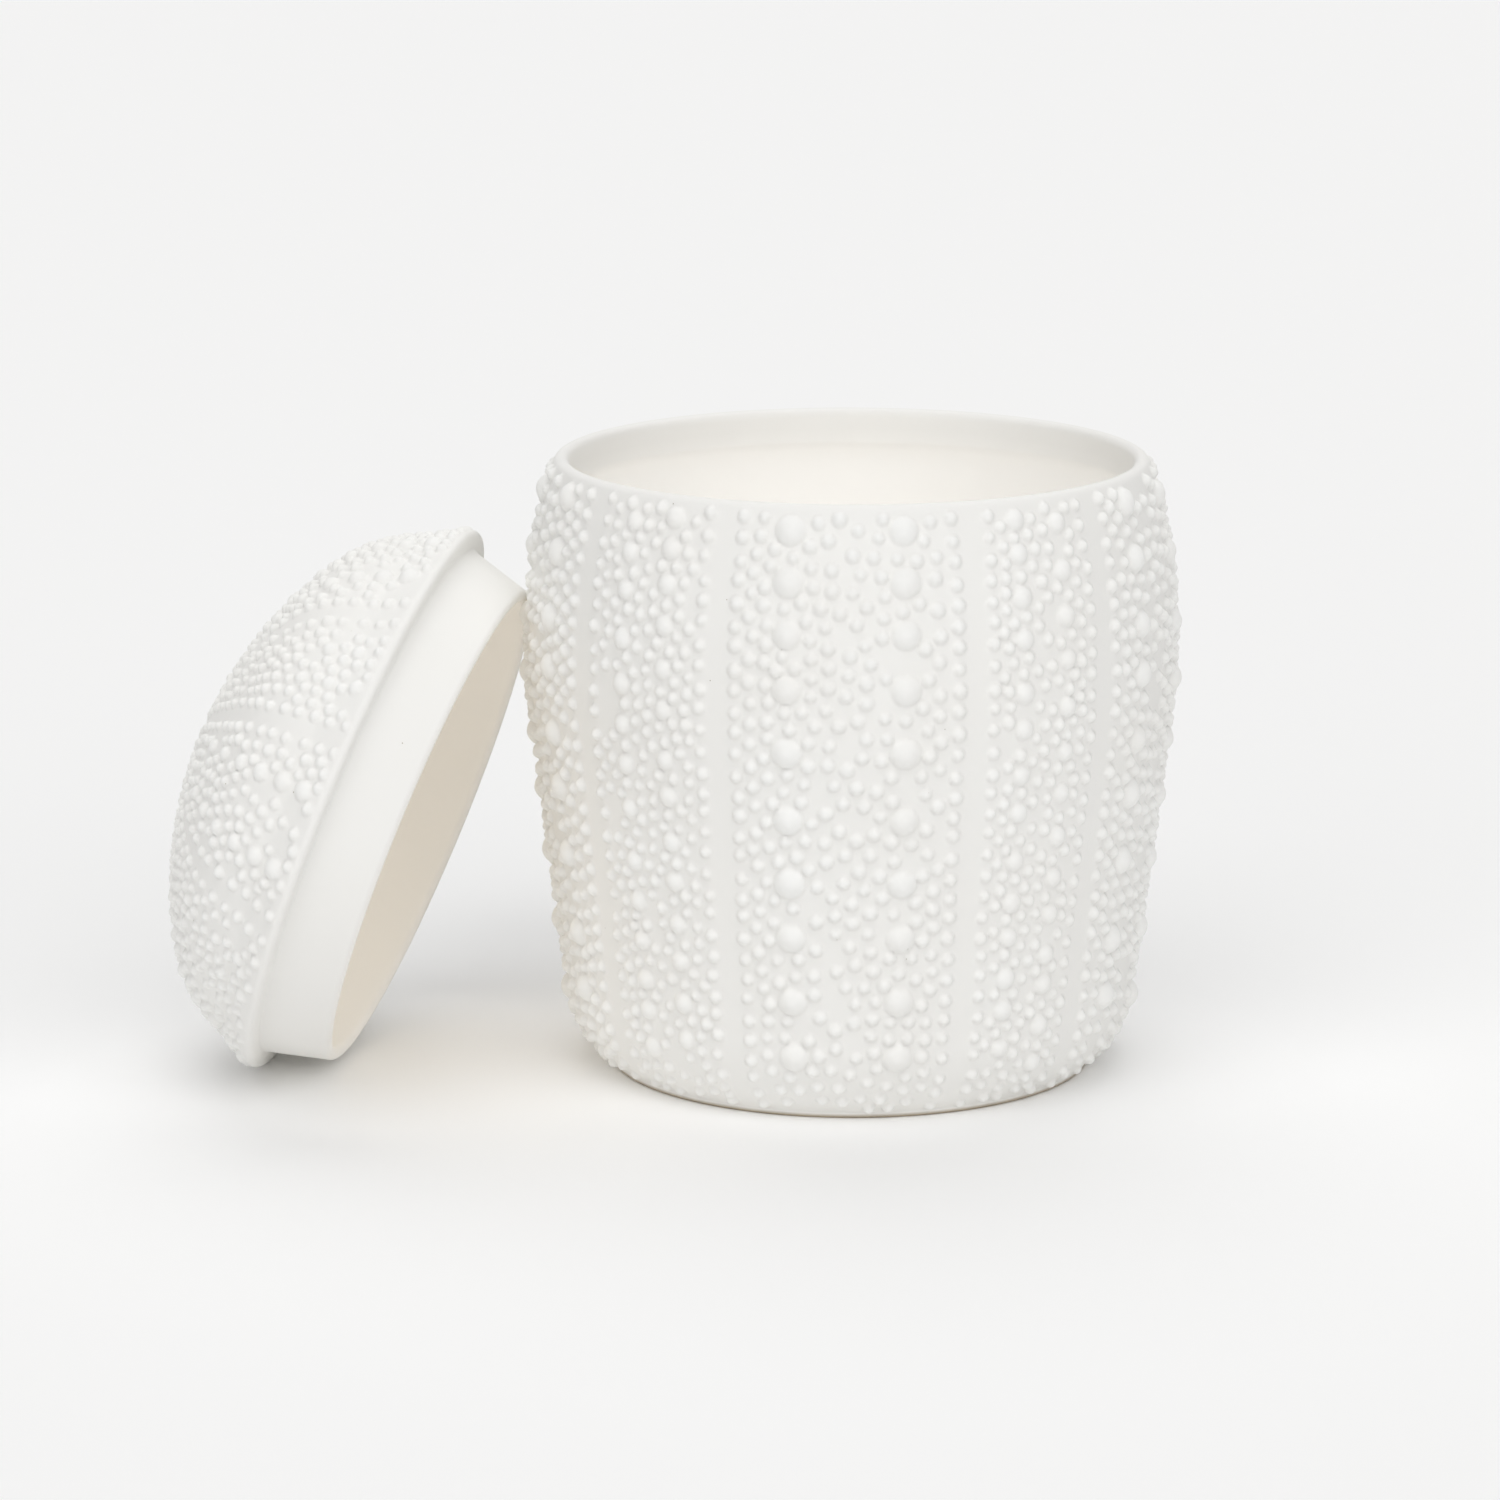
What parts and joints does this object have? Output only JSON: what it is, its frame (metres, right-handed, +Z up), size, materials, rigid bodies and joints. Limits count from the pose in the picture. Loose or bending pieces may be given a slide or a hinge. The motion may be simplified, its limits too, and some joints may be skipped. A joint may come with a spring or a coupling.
{
  "type": "canister",
  "caption": "Round porcelain canister with a sea-urchin relief: an open jar, and its domed lid with a narrow flange and a collar leaning on the jar's side.",
  "frame": {"origin": "centre of the jar's flat foot, on the surface that the canister stands on", "axes": "+Z up along the jar's axis; the lid leans on the jar's -X side, and -Y is the front"},
  "size_m": [0.1977, 0.1292, 0.121],
  "materials": {
    "jar_porcelain": "matte unglazed bisque",
    "lid_porcelain": "matte unglazed bisque"
  },
  "bodies": {
    "jar": {"jar": "jar_porcelain"},
    "lid": {"lid": "lid_porcelain"}
  },
  "joints": [
    {"name": "lid_lift", "type": "slide", "parent": "jar", "child": "lid", "axis": [-0.4226, 0, 0.9063], "range_m": [0, 0.15]}
  ]
}
